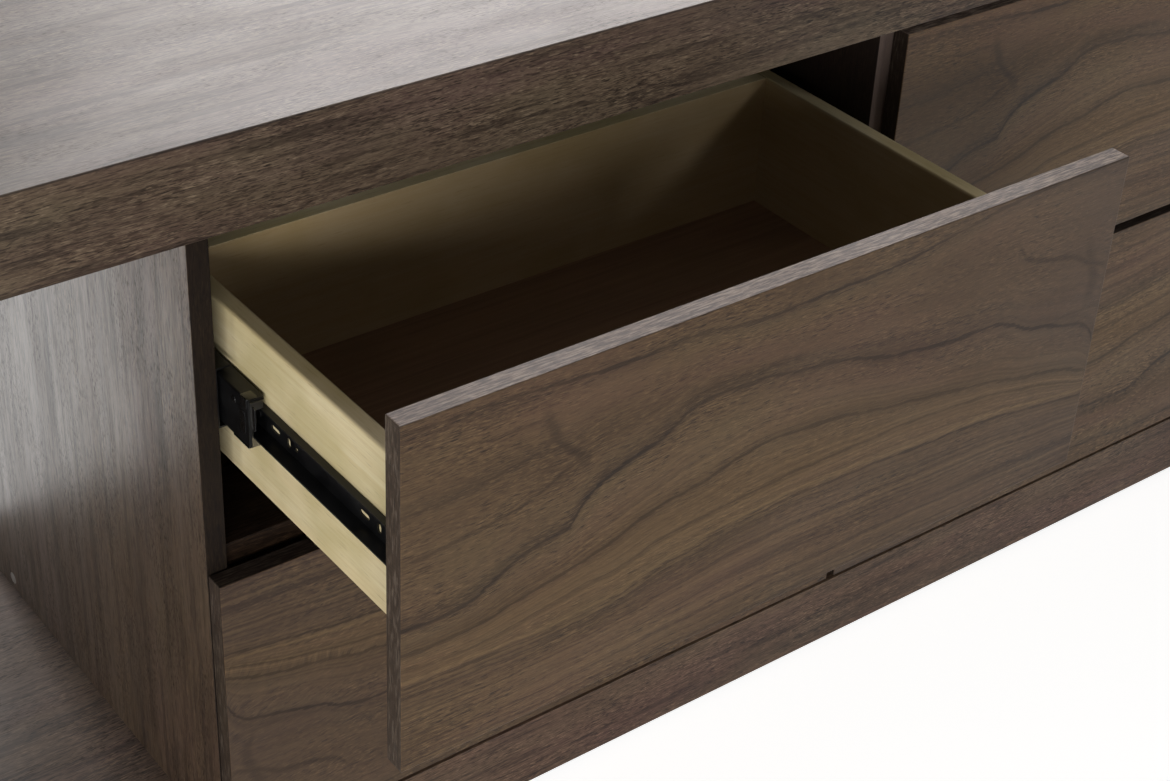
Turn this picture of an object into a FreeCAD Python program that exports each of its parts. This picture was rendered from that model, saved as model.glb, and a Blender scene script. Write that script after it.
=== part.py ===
"""Office credenza: a thick mitred frame around two columns of drawers, with an open bay at each end."""
import FreeCAD, Part
import os
from FreeCAD import Vector

os.makedirs("parts", exist_ok=True)

# ---------------------------------------------------------------------------
# Driving dimensions, in millimetres.
# X runs along the length, Y from front to back, Z up from the floor.
# ---------------------------------------------------------------------------

# Outer frame: top, base and two ends of one thickness, mitred at the corners.
credenza_length = 2000.0
credenza_depth = 560.0
slab_thickness = 76.0
slab_edge_ease = 1.2

# Levelling glides under the base.
glide_height = 8.0
glide_radius = 19.0
glide_edge_round = 2.0
glide_inset = 70.0
glide_stud_radius = 4.0
glide_stud_length = 26.0
glide_row_count = 3

# Drawer fronts and the reveals around them.
front_width = 670.0
front_height = 290.0
front_thickness = 18.0
front_edge_ease = 1.0
front_gap = 9.5
top_gap = 6.5
base_gap = 4.0

# Upright panels of the drawer block.
panel_thickness = 18.0
panel_edge_ease = 0.8
bumper_gap = 2.0

# Rail between the upper and the lower drawer.
rail_thickness = 22.0
rail_depth = 90.0
rail_setback = 7.5
rail_edge_ease = 1.0

# Back of the drawer block.
back_thickness = 8.0
back_rebate = 9.0
back_clearance = 1.0

# Drawer boxes. A box reaches a little further back than its runners.
box_board_thickness = 15.0
box_height = 140.0
box_rise = 72.0
box_rear_overhang = 20.0
box_top_round = 2.5
box_corner_ease = 0.6
bottom_thickness = 6.0
bottom_rise = 9.0
groove_depth = 7.0
groove_clearance = 0.1

# Ball-bearing runners, one each side of a drawer box, placed by their middle line.
runner_space = 19.0
runner_rise_on_box = 74.5
runner_length = 350.0
runner_setback = 2.0
runner_steel = 1.5
runner_bend_radius = 1.4
runner_running_gap = 1.5
cabinet_member_reach = 13.0
middle_member_side_gap = 2.5
middle_member_lip = 3.0
middle_member_recess = 4.0
drawer_member_height = 24.0
upper_flange_reach = 6.5
inner_ball_space = 7.5
outer_ball_space = 4.0
cage_clearance = 0.3
outer_cage_width = 6.0
inner_cage_width = 4.5
cage_length = 170.0
outer_cage_start = 110.0
inner_cage_start = 16.0
stop_length = 12.0
stop_overhang = 2.0

# Holes pressed in the drawer member's web, in two like groups, just under its middle line.
hole_row_drop = 2.0
hole_group_start = 51.0
hole_group_pitch = 121.0
hole_group_count = 2
round_hole_radius = 2.1
upright_slot_offset = 10.6
upright_slot_length = 8.0
long_slot_offset = 29.5
long_slot_length = 12.5
slot_width = 4.6

# Screws. A web is the wood left beyond a screw's point.
hole_clearance = 0.1
screw_shank_radius = 1.7
pan_head_radius = 3.6
pan_head_height = 1.0
cross_recess_width = 0.9
cross_recess_span = 3.6
cross_recess_depth = 0.6
runner_screw_inset = 25.0
runner_screw_rear_pitch = 100.0
divider_screw_web = 2.0
box_screw_web = 5.0
front_screw_web = 6.0
front_screw_shank_radius = 2.0
front_screw_head_radius = 4.6
front_screw_head_height = 2.2
front_screw_columns = 3
front_screw_inset = 70.0
front_screw_rise = 38.0
back_screw_pitch = 160.0
back_screw_inset = 40.0
back_screw_grip = 18.0

# Bolts through the base into cross nuts in the panels, and dowels.
bolt_radius = 3.0
bolt_head_radius = 6.0
bolt_head_height = 4.0
bolt_socket_radius = 2.5
bolt_socket_depth = 2.0
bolt_counterbore_depth = 8.0
bolt_counterbore_clearance = 1.0
bolt_front_inset = 60.0
bolt_rear_inset = 124.0
barrel_nut_radius = 6.0
barrel_nut_web = 4.0
barrel_nut_rise = 12.0
barrel_nut_slot_width = 1.6
barrel_nut_slot_depth = 1.2
bolt_end_room = 4.0
dowel_radius = 4.0
dowel_depth = 20.0
dowel_inset = 45.0
dowel_bolt_distance = 90.0
top_dowel_count = 3
dowel_web = 2.0
rail_dowel_inset = 20.0

# Drawer travel. One drawer stands part open.
upper_left_open = 255.0
middle_follow_ratio = 0.18

# ---------------------------------------------------------------------------
# Places worked out from the driving dimensions.
# ---------------------------------------------------------------------------

front_y = -(credenza_depth - upper_left_open) / 2.0
rear_y = front_y + credenza_depth
half_length = credenza_length / 2.0

base_bottom_z = glide_height
base_top_z = base_bottom_z + slab_thickness
lower_front_z = base_top_z + base_gap
upper_front_z = lower_front_z + front_height + front_gap
top_bottom_z = upper_front_z + front_height + top_gap
top_top_z = top_bottom_z + slab_thickness

block_width = 2.0 * front_width + front_gap
block_left_x = -block_width / 2.0
block_right_x = block_width / 2.0
divider_left_x = -panel_thickness / 2.0
panel_front_y = front_y + front_thickness + bumper_gap

# Sections of the runner members, u measured from the panel's face.
drawer_member_web_u = runner_space
middle_member_web_u = runner_steel + runner_running_gap
middle_member_tip_u = runner_space - middle_member_side_gap
middle_member_floor_u = middle_member_web_u + runner_steel
lower_flange_tip_u = middle_member_floor_u + runner_running_gap
upper_flange_tip_u = runner_space - upper_flange_reach
middle_member_height = drawer_member_height + 2.0 * (inner_ball_space + runner_steel)
cabinet_member_height = middle_member_height + 2.0 * (outer_ball_space + runner_steel)
runner_rise = box_rise + runner_rise_on_box
runner_screw_last = runner_length - runner_screw_inset
runner_screw_stations = (
    runner_screw_inset, runner_screw_last - runner_screw_rear_pitch, runner_screw_last)

box_depth = runner_setback + runner_length + box_rear_overhang
panel_screw_depth = (panel_thickness - divider_screw_web) / 2.0
box_screw_depth = box_board_thickness - box_screw_web
front_screw_length = box_board_thickness + front_thickness - front_screw_web
back_screw_length = back_thickness + back_screw_grip
barrel_nut_length = panel_thickness - barrel_nut_web

# The clear width of one drawer column, and its left wall, for each side.
column_width = divider_left_x - (block_left_x + panel_thickness)
column_left_x = {
    "left": block_left_x + panel_thickness,
    "right": divider_left_x + panel_thickness,
}
front_left_x = {"left": block_left_x, "right": block_right_x - front_width}
front_bottom_z = {"upper": upper_front_z, "lower": lower_front_z}

box_front_y = front_y + front_thickness
runner_front_y = panel_front_y + runner_setback

DRAWERS = (
    ("upper", "left", upper_left_open),
    ("upper", "right", 0.0),
    ("lower", "left", 0.0),
    ("lower", "right", 0.0),
)


# ---------------------------------------------------------------------------
# Small helpers.
# ---------------------------------------------------------------------------

def board(x0, x1, y0, y1, z0, z1):
    """A plain board between two corners."""
    return Part.makeBox(x1 - x0, y1 - y0, z1 - z0, Vector(x0, y0, z0))


def prism_along_y(points_xz, y0, y1):
    """A straight moulding with the outline points_xz, running from y0 to y1."""
    corners = [Vector(x, y0, z) for x, z in points_xz]
    outline = Part.makePolygon(corners + corners[:1])
    return Part.Face(outline).extrude(Vector(0, y1 - y0, 0))


def rod(start, direction, radius, length):
    """A round rod from start along direction."""
    return Part.makeCylinder(radius, length, Vector(*start), Vector(*direction))


def edge_direction(edge):
    """The axis name of a straight edge that runs along X, Y or Z, or None."""
    start = edge.Vertexes[0].Point
    end = edge.Vertexes[-1].Point
    run = end - start
    for axis in ("x", "y", "z"):
        others = [abs(getattr(run, other)) for other in "xyz" if other != axis]
        if max(others) < 1e-6 and abs(getattr(run, axis)) > 1e-6:
            return axis
    return None


def ease(shape, radius, wanted):
    """Round the edges for which wanted(axis, middle point) is true."""
    chosen = []
    for edge in shape.Edges:
        middle = edge.CenterOfMass
        if wanted(edge_direction(edge), middle):
            chosen.append(edge)
    return shape.makeFillet(radius, chosen) if chosen else shape


def near(value, target):
    return abs(value - target) < 1e-4


def group(solids):
    """Several separate solids kept together in one node."""
    return Part.makeCompound(solids)


def screw(head_seat, direction, shank_radius, length, head_radius, head_height):
    """A pan-head screw: its head lies on head_seat and its shank runs along direction."""
    seat = Vector(*head_seat)
    along = Vector(*direction)
    shank = Part.makeCylinder(shank_radius, length, seat, along)
    head = Part.makeCylinder(head_radius, head_height, seat - along * head_height, along)
    body = head.fuse(shank).removeSplitter()
    for turn in (0, 90):
        slot = Part.makeBox(
            cross_recess_span, cross_recess_width, cross_recess_depth,
            Vector(-cross_recess_span / 2.0, -cross_recess_width / 2.0, 0.0))
        slot.rotate(Vector(0, 0, 0), Vector(0, 0, 1), turn)
        slot.Placement = FreeCAD.Placement(
            seat - along * head_height,
            FreeCAD.Rotation(Vector(0, 0, 1), along)).multiply(slot.Placement)
        body = body.cut(slot)
    return body


NODES = {}


def keep(name, shape):
    """Store a finished node under its name."""
    NODES[name] = shape


# ---------------------------------------------------------------------------
# Fixings of the frame: where the dowels, bolts and nuts go.
# ---------------------------------------------------------------------------

PANELS = (
    ("left_block_panel", block_left_x, -1),
    ("centre_divider", divider_left_x, -1),
    ("right_block_panel", block_right_x - panel_thickness, 1),
)

bolt_ys = (panel_front_y + bolt_front_inset, rear_y - bolt_rear_inset)
base_dowel_ys = (bolt_ys[0] + dowel_bolt_distance, bolt_ys[1] - dowel_bolt_distance)
top_dowel_first_y = panel_front_y + dowel_inset
top_dowel_last_y = rear_y - back_thickness - dowel_inset
top_dowel_step = (top_dowel_last_y - top_dowel_first_y) / (top_dowel_count - 1)
top_dowel_ys = [top_dowel_first_y + i * top_dowel_step for i in range(top_dowel_count)]

barrel_nut_z = base_top_z + barrel_nut_rise
bolt_top_z = barrel_nut_z + barrel_nut_radius + bolt_end_room
bolt_seat_z = base_bottom_z + bolt_counterbore_depth


def upright_dowel(x, y, joint_z, radius):
    return rod((x, y, joint_z - dowel_depth), (0, 0, 1), radius, 2.0 * dowel_depth)


def base_bolt(x, y):
    """A bolt with a flat round head, driven up through the base."""
    head = rod((x, y, bolt_seat_z - bolt_head_height), (0, 0, 1), bolt_head_radius, bolt_head_height)
    shank = rod((x, y, bolt_seat_z), (0, 0, 1), bolt_radius, bolt_top_z - bolt_seat_z)
    socket = rod((x, y, bolt_seat_z - bolt_head_height), (0, 0, 1),
                 bolt_socket_radius, bolt_socket_depth)
    return head.fuse(shank).removeSplitter().cut(socket)


def base_bolt_hole(x, y):
    """Counterbore and clearance hole for a base bolt."""
    counterbore = rod((x, y, base_bottom_z), (0, 0, 1),
                      bolt_head_radius + bolt_counterbore_clearance, bolt_counterbore_depth)
    bore = rod((x, y, bolt_seat_z), (0, 0, 1),
               bolt_radius + hole_clearance, bolt_top_z + hole_clearance - bolt_seat_z)
    return counterbore.fuse(bore)


def barrel_nut(panel_x, y, outward):
    """A slotted cross nut let into a panel from its outward face."""
    face_x = panel_x if outward < 0 else panel_x + panel_thickness
    nut = rod((face_x, y, barrel_nut_z), (-outward, 0, 0), barrel_nut_radius, barrel_nut_length)
    bore = rod((panel_x + panel_thickness / 2.0, y, barrel_nut_z - 2.0 * barrel_nut_radius),
               (0, 0, 1), bolt_radius + hole_clearance, 4.0 * barrel_nut_radius)
    slot_x0 = min(face_x, face_x - outward * barrel_nut_slot_depth)
    slot = board(slot_x0, slot_x0 + barrel_nut_slot_depth,
                 y - barrel_nut_slot_width / 2.0, y + barrel_nut_slot_width / 2.0,
                 barrel_nut_z - 2.0 * barrel_nut_radius, barrel_nut_z + 2.0 * barrel_nut_radius)
    return nut.cut(bore).cut(slot)


def barrel_nut_hole(panel_x, y, outward):
    face_x = panel_x if outward < 0 else panel_x + panel_thickness
    return rod((face_x, y, barrel_nut_z), (-outward, 0, 0),
               barrel_nut_radius + hole_clearance, barrel_nut_length + hole_clearance)


def glide_places():
    """The X and Y of each levelling glide."""
    first_x = -half_length + glide_inset
    step_x = (credenza_length - 2.0 * glide_inset) / (glide_row_count - 1)
    for row in range(glide_row_count):
        for y in (front_y + glide_inset, rear_y - glide_inset):
            yield first_x + row * step_x, y


# ---------------------------------------------------------------------------
# Outer frame.
# ---------------------------------------------------------------------------

def slab_edges(axis, middle):
    """The long front and rear edges of a frame member."""
    on_face = near(middle.y, front_y) or near(middle.y, rear_y)
    return on_face and axis in ("x", "z")


def frame_member(outline):
    return ease(prism_along_y(outline, front_y, rear_y), slab_edge_ease, slab_edges)


def make_frame():
    left, right = -half_length, half_length
    thick = slab_thickness
    top = frame_member([
        (left, top_top_z), (right, top_top_z),
        (right - thick, top_bottom_z), (left + thick, top_bottom_z)])
    base = frame_member([
        (left, base_bottom_z), (right, base_bottom_z),
        (right - thick, base_top_z), (left + thick, base_top_z)])
    left_end = frame_member([
        (left, base_bottom_z), (left, top_top_z),
        (left + thick, top_bottom_z), (left + thick, base_top_z)])
    right_end = frame_member([
        (right, base_bottom_z), (right, top_top_z),
        (right - thick, top_bottom_z), (right - thick, base_top_z)])

    for _, panel_x, _ in PANELS:
        middle_x = panel_x + panel_thickness / 2.0
        for y in top_dowel_ys:
            top = top.cut(upright_dowel(middle_x, y, top_bottom_z, dowel_radius + hole_clearance))
        for y in base_dowel_ys:
            base = base.cut(upright_dowel(middle_x, y, base_top_z, dowel_radius + hole_clearance))
        for y in bolt_ys:
            base = base.cut(base_bolt_hole(middle_x, y))
    for x, y in glide_places():
        base = base.cut(rod((x, y, base_bottom_z), (0, 0, 1),
                            glide_stud_radius + hole_clearance,
                            glide_stud_length + hole_clearance))

    keep("top_slab", top)
    keep("base_slab", base)
    keep("left_end_panel", left_end)
    keep("right_end_panel", right_end)


def make_glides():
    """Round feet with a threaded stud each."""
    glides = []
    for x, y in glide_places():
        foot = rod((x, y, 0.0), (0, 0, 1), glide_radius, glide_height)
        foot = ease(foot, glide_edge_round,
                    lambda axis, middle: near(middle.z, 0.0) and axis is None)
        stud = rod((x, y, glide_height), (0, 0, 1), glide_stud_radius, glide_stud_length)
        glides.append(foot.fuse(stud).removeSplitter())
    keep("levelling_glides", group(glides))


# ---------------------------------------------------------------------------
# Drawer block: uprights, rails, back and their fixings.
# ---------------------------------------------------------------------------

rail_middle_z = upper_front_z - front_gap / 2.0
rail_bottom_z = rail_middle_z - rail_thickness / 2.0
rail_front_y = panel_front_y + rail_setback
rail_dowel_ys = (rail_front_y + rail_dowel_inset, rail_front_y + rail_depth - rail_dowel_inset)
rail_dowel_in_panel = (panel_thickness - dowel_web) / 2.0


def rail_dowel(wall_x, inward, y, radius):
    """A dowel across the joint of a rail and the panel wall at wall_x."""
    start_x = wall_x - inward * rail_dowel_in_panel
    return rod((start_x, y, rail_middle_z), (inward, 0, 0), radius,
               rail_dowel_in_panel + dowel_depth)


def rail_dowels(side, radius):
    left_wall = column_left_x[side]
    right_wall = left_wall + column_width
    return [rail_dowel(wall, inward, y, radius)
            for wall, inward in ((left_wall, 1), (right_wall, -1))
            for y in rail_dowel_ys]


def runner_screw_in_panel(side, wall, level, station, radius):
    """The shank of a screw that holds a cabinet member to a panel."""
    z = front_bottom_z[level] + runner_rise
    y = runner_front_y + station
    length = runner_steel + panel_screw_depth
    if wall == "left":
        return rod((column_left_x[side] + runner_steel, y, z), (-1, 0, 0), radius, length)
    return rod((column_left_x[side] + column_width - runner_steel, y, z), (1, 0, 0), radius, length)


def back_screw_places():
    """X and Z of the screws in the back, up each panel."""
    height = top_bottom_z - base_top_z
    count = int((height - 2.0 * back_screw_inset) // back_screw_pitch) + 1
    first_z = (base_top_z + top_bottom_z) / 2.0 - (count - 1) * back_screw_pitch / 2.0
    rebate_middle = back_rebate / 2.0
    xs = (block_left_x + panel_thickness - rebate_middle, 0.0,
          block_right_x - panel_thickness + rebate_middle)
    for x in xs:
        for i in range(count):
            yield x, first_z + i * back_screw_pitch


def back_screw(x, z, grow):
    length = back_screw_length + grow
    return rod((x, rear_y, z), (0, -1, 0), screw_shank_radius + grow, length)


def make_block():
    height_z = (base_top_z, top_bottom_z)
    back_front_y = rear_y - back_thickness
    for name, panel_x, outward in PANELS:
        is_divider = name == "centre_divider"
        panel_rear_y = back_front_y if is_divider else rear_y
        panel = board(panel_x, panel_x + panel_thickness, panel_front_y, panel_rear_y, *height_z)
        panel = ease(panel, panel_edge_ease,
                     lambda axis, middle: axis == "z" and near(middle.y, panel_front_y))
        if not is_divider:
            inner_x = panel_x + panel_thickness if outward < 0 else panel_x
            rebate_x0 = inner_x - back_rebate if outward < 0 else inner_x
            panel = panel.cut(board(rebate_x0, rebate_x0 + back_rebate,
                                    back_front_y, rear_y, *height_z))
        middle_x = panel_x + panel_thickness / 2.0
        cutters = [upright_dowel(middle_x, y, top_bottom_z, dowel_radius + hole_clearance)
                   for y in top_dowel_ys]
        cutters += [upright_dowel(middle_x, y, base_top_z, dowel_radius + hole_clearance)
                    for y in base_dowel_ys]
        for y in bolt_ys:
            cutters.append(base_bolt_hole(middle_x, y))
            cutters.append(barrel_nut_hole(panel_x, y, outward))
        for side in ("left", "right"):
            cutters += rail_dowels(side, dowel_radius + hole_clearance)
            for level in ("upper", "lower"):
                for wall in ("left", "right"):
                    for station in runner_screw_stations:
                        cutters.append(runner_screw_in_panel(
                            side, wall, level, station, screw_shank_radius + hole_clearance))
        for x, z in back_screw_places():
            cutters.append(back_screw(x, z, hole_clearance))
        reach = panel.BoundBox
        reach.enlarge(1.0)
        panel = panel.cut([tool for tool in cutters if reach.intersect(tool.BoundBox)])
        keep(name, panel)

    back_left_x = block_left_x + panel_thickness - back_rebate
    back_right_x = block_right_x - panel_thickness + back_rebate
    back = board(back_left_x, back_right_x, back_front_y, rear_y,
                 base_top_z + back_clearance, top_bottom_z - back_clearance)
    keep("block_back_panel",
         back.cut([back_screw(x, z, hole_clearance) for x, z in back_screw_places()]))

    for side in ("left", "right"):
        rail = board(column_left_x[side], column_left_x[side] + column_width,
                     rail_front_y, rail_front_y + rail_depth,
                     rail_bottom_z, rail_bottom_z + rail_thickness)
        rail = ease(rail, rail_edge_ease,
                    lambda axis, middle: axis == "x" and near(middle.y, rail_front_y))
        keep(side + "_drawer_rail", rail.cut(rail_dowels(side, dowel_radius + hole_clearance)))


def make_block_fixings():
    dowels, bolts, nuts = [], [], []
    for _, panel_x, outward in PANELS:
        middle_x = panel_x + panel_thickness / 2.0
        dowels += [upright_dowel(middle_x, y, top_bottom_z, dowel_radius) for y in top_dowel_ys]
        dowels += [upright_dowel(middle_x, y, base_top_z, dowel_radius) for y in base_dowel_ys]
        bolts += [base_bolt(middle_x, y) for y in bolt_ys]
        nuts += [barrel_nut(panel_x, y, outward) for y in bolt_ys]
    for side in ("left", "right"):
        dowels += rail_dowels(side, dowel_radius)
    keep("wooden_dowels", group(dowels))
    keep("base_bolts", group(bolts))
    keep("barrel_nuts", group(nuts))

    keep("back_panel_screws", group([
        screw((x, rear_y, z), (0, -1, 0), screw_shank_radius, back_screw_length,
              pan_head_radius, pan_head_height)
        for x, z in back_screw_places()]))

    runner_screws = []
    for level, side, _ in DRAWERS:
        z = front_bottom_z[level] + runner_rise
        left_x = column_left_x[side] + runner_steel
        right_x = column_left_x[side] + column_width - runner_steel
        for station in runner_screw_stations:
            y = runner_front_y + station
            for x, along in ((left_x, -1), (right_x, 1)):
                runner_screws.append(screw(
                    (x, y, z), (along, 0, 0), screw_shank_radius,
                    runner_steel + panel_screw_depth, pan_head_radius, pan_head_height))
    keep("runner_screws", group(runner_screws))


# ---------------------------------------------------------------------------
# Runners. Each is drawn from the panel face outwards, u across and v up, then
# laid against the left or the right wall of its column.
# ---------------------------------------------------------------------------

def channel_side(web_u, tip_u, height, lip):
    """The upper half of a channel section from web_u to tip_u, with an inturned lip at its tip."""
    way = 1.0 if tip_u > web_u else -1.0
    half = height / 2.0
    steel = runner_steel
    inner_tip = tip_u - way * steel
    points = [(web_u, half), (tip_u, half)]
    if lip > steel:
        points += [(tip_u, half - lip), (inner_tip, half - lip), (inner_tip, half - steel)]
    else:
        points.append((tip_u, half - steel))
    points.append((web_u + way * steel, half - steel))
    return points


def channel_outline(web_u, upper_tip_u, lower_tip_u, height, lip):
    """A whole channel section: its upper side, then its lower side turned upside down."""
    upper = channel_side(web_u, upper_tip_u, height, lip)
    lower = channel_side(web_u, lower_tip_u, height, lip)
    return upper + [(u, -v) for u, v in reversed(lower)]


def stop_outline():
    """A C-shaped stop that lines the middle member round the drawer member."""
    outer = middle_member_height / 2.0 - runner_steel - cage_clearance
    inner = drawer_member_height / 2.0 + cage_clearance
    back_u = middle_member_floor_u
    wall_u = lower_flange_tip_u - cage_clearance
    tip_u = middle_member_tip_u - runner_steel - cage_clearance
    upper = [(back_u, outer), (tip_u, outer), (tip_u, inner), (wall_u, inner)]
    return upper + [(u, -v) for u, v in reversed(upper)]


def along_wall(side, wall, points_uv, level):
    """Turn section points into X and Z beside one wall of a column."""
    z = front_bottom_z[level] + runner_rise
    if wall == "left":
        return [(column_left_x[side] + u, z + v) for u, v in points_uv]
    return [(column_left_x[side] + column_width - u, z + v) for u, v in points_uv]


def member(side, wall, level, outline_uv, y0, length):
    """One pressed steel runner member, its outer bends rounded."""
    points = along_wall(side, wall, outline_uv, level)
    solid = prism_along_y(points, y0, y0 + length)
    zs = [z for _, z in points]
    return ease(solid, runner_bend_radius,
                lambda axis, middle: axis == "y"
                and (near(middle.z, max(zs)) or near(middle.z, min(zs)))
                and is_outer_bend(middle, points))


def is_outer_bend(middle, points):
    """True on the edge where the web turns into a flange, the first point of the outline."""
    return near(middle.x, points[0][0])


def slot_cutter(side, wall, level, centre_y, long_y, long_z):
    """A round-ended cutter through a drawer member's web."""
    web_middle = (drawer_member_web_u - runner_steel / 2.0, -hole_row_drop)
    (x, z), = along_wall(side, wall, [web_middle], level)
    reach = runner_steel
    half_width = min(long_y, long_z) / 2.0
    slack_y = long_y / 2.0 - half_width
    slack_z = long_z / 2.0 - half_width
    ends = [rod((x - reach, centre_y + sign * slack_y, z + sign * slack_z), (1, 0, 0),
                half_width, 2.0 * reach) for sign in (-1, 1)]
    if slack_y > 0.0:
        ends.append(board(x - reach, x + reach, centre_y - slack_y, centre_y + slack_y,
                          z - half_width, z + half_width))
    if slack_z > 0.0:
        ends.append(board(x - reach, x + reach, centre_y - half_width, centre_y + half_width,
                          z - slack_z, z + slack_z))
    return ends[0].fuse(ends[1:])


def web_holes(side, wall, level, member_front_y):
    """The round hole, upright slot and long slot of each hole group."""
    cutters = []
    for i in range(hole_group_count):
        start_y = member_front_y + hole_group_start + i * hole_group_pitch
        for offset, long_y, long_z in (
                (0.0, 2.0 * round_hole_radius, 2.0 * round_hole_radius),
                (upright_slot_offset, slot_width, upright_slot_length),
                (long_slot_offset, long_slot_length, slot_width)):
            cutters.append(slot_cutter(side, wall, level, start_y + offset, long_y, long_z))
    return cutters


def make_runners(level, side, opened):
    name = level + "_" + side
    middle_shift = opened * middle_follow_ratio
    cabinet_outline = channel_outline(0.0, cabinet_member_reach, cabinet_member_reach,
                                      cabinet_member_height, 0.0)
    middle_outline = channel_outline(middle_member_web_u, middle_member_tip_u,
                                     middle_member_tip_u, middle_member_height,
                                     middle_member_lip)
    drawer_outline = channel_outline(drawer_member_web_u, upper_flange_tip_u,
                                     lower_flange_tip_u, drawer_member_height, 0.0)
    middle_front_y = runner_front_y + middle_member_recess - middle_shift
    middle_length = runner_length - middle_member_recess
    drawer_member_y = box_front_y + runner_setback - opened

    cabinet, middle, drawer, cages = [], [], [], []
    for wall in ("left", "right"):
        piece = member(side, wall, level, cabinet_outline, runner_front_y, runner_length)
        holes = [runner_screw_in_panel(side, wall, level, station,
                                       screw_shank_radius + hole_clearance)
                 for station in runner_screw_stations]
        cabinet.append(piece.cut(holes))
        middle.append(member(side, wall, level, middle_outline, middle_front_y, middle_length))
        piece = member(side, wall, level, drawer_outline, drawer_member_y, runner_length)
        holes = web_holes(side, wall, level, drawer_member_y)
        holes += [drawer_screw_shank(side, wall, level, drawer_member_y + station,
                                     screw_shank_radius + hole_clearance)
                  for station in runner_screw_stations]
        drawer.append(piece.cut(holes))
        cages += ball_cages(side, wall, level, middle_front_y)
        stop_front_y = middle_front_y - stop_overhang
        cages.append(prism_along_y(along_wall(side, wall, stop_outline(), level),
                                   stop_front_y, stop_front_y + stop_length))
    keep(name + "_runner_cabinet_members", group(cabinet))
    keep(name + "_runner_middle_members", group(middle))
    keep(name + "_runner_drawer_members", group(drawer))
    keep(name + "_runner_ball_cages", group(cages))


def ball_cages(side, wall, level, middle_front_y):
    """The four long ball cages of one runner: outer and inner, above and below."""
    steel = runner_steel
    outer_low = middle_member_height / 2.0 + cage_clearance
    outer_high = cabinet_member_height / 2.0 - steel - cage_clearance
    inner_low = drawer_member_height / 2.0 + cage_clearance
    inner_high = middle_member_height / 2.0 - steel - cage_clearance
    cages = []
    for low, high, u, width, start in (
            (outer_low, outer_high, middle_member_floor_u, outer_cage_width, outer_cage_start),
            (inner_low, inner_high, upper_flange_tip_u - inner_cage_width / 2.0,
             inner_cage_width, inner_cage_start)):
        for sign in (-1, 1):
            v0, v1 = sorted((sign * low, sign * high))
            outline = [(u, v0), (u + width, v0), (u + width, v1), (u, v1)]
            points = along_wall(side, wall, outline, level)
            y0 = middle_front_y + start
            cages.append(prism_along_y(points, y0, y0 + cage_length))
    return cages


def drawer_screw_shank(side, wall, level, y, radius):
    """The shank of a screw that holds a drawer member to the box side."""
    z = front_bottom_z[level] + runner_rise
    length = runner_steel + box_screw_depth
    if wall == "left":
        start_x = column_left_x[side] + runner_space - runner_steel
        return rod((start_x, y, z), (1, 0, 0), radius, length)
    start_x = column_left_x[side] + column_width - runner_space + runner_steel
    return rod((start_x, y, z), (-1, 0, 0), radius, length)


# ---------------------------------------------------------------------------
# Drawers.
# ---------------------------------------------------------------------------

def front_screw_places(box_left_x, box_right_x, box_bottom_z):
    """X and Z of the screws that hold a front to its box."""
    first_x = box_left_x + front_screw_inset
    step_x = (box_right_x - box_left_x - 2.0 * front_screw_inset) / (front_screw_columns - 1)
    for i in range(front_screw_columns):
        for z in (box_bottom_z + front_screw_rise, box_bottom_z + box_height - front_screw_rise):
            yield first_x + i * step_x, z


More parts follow.
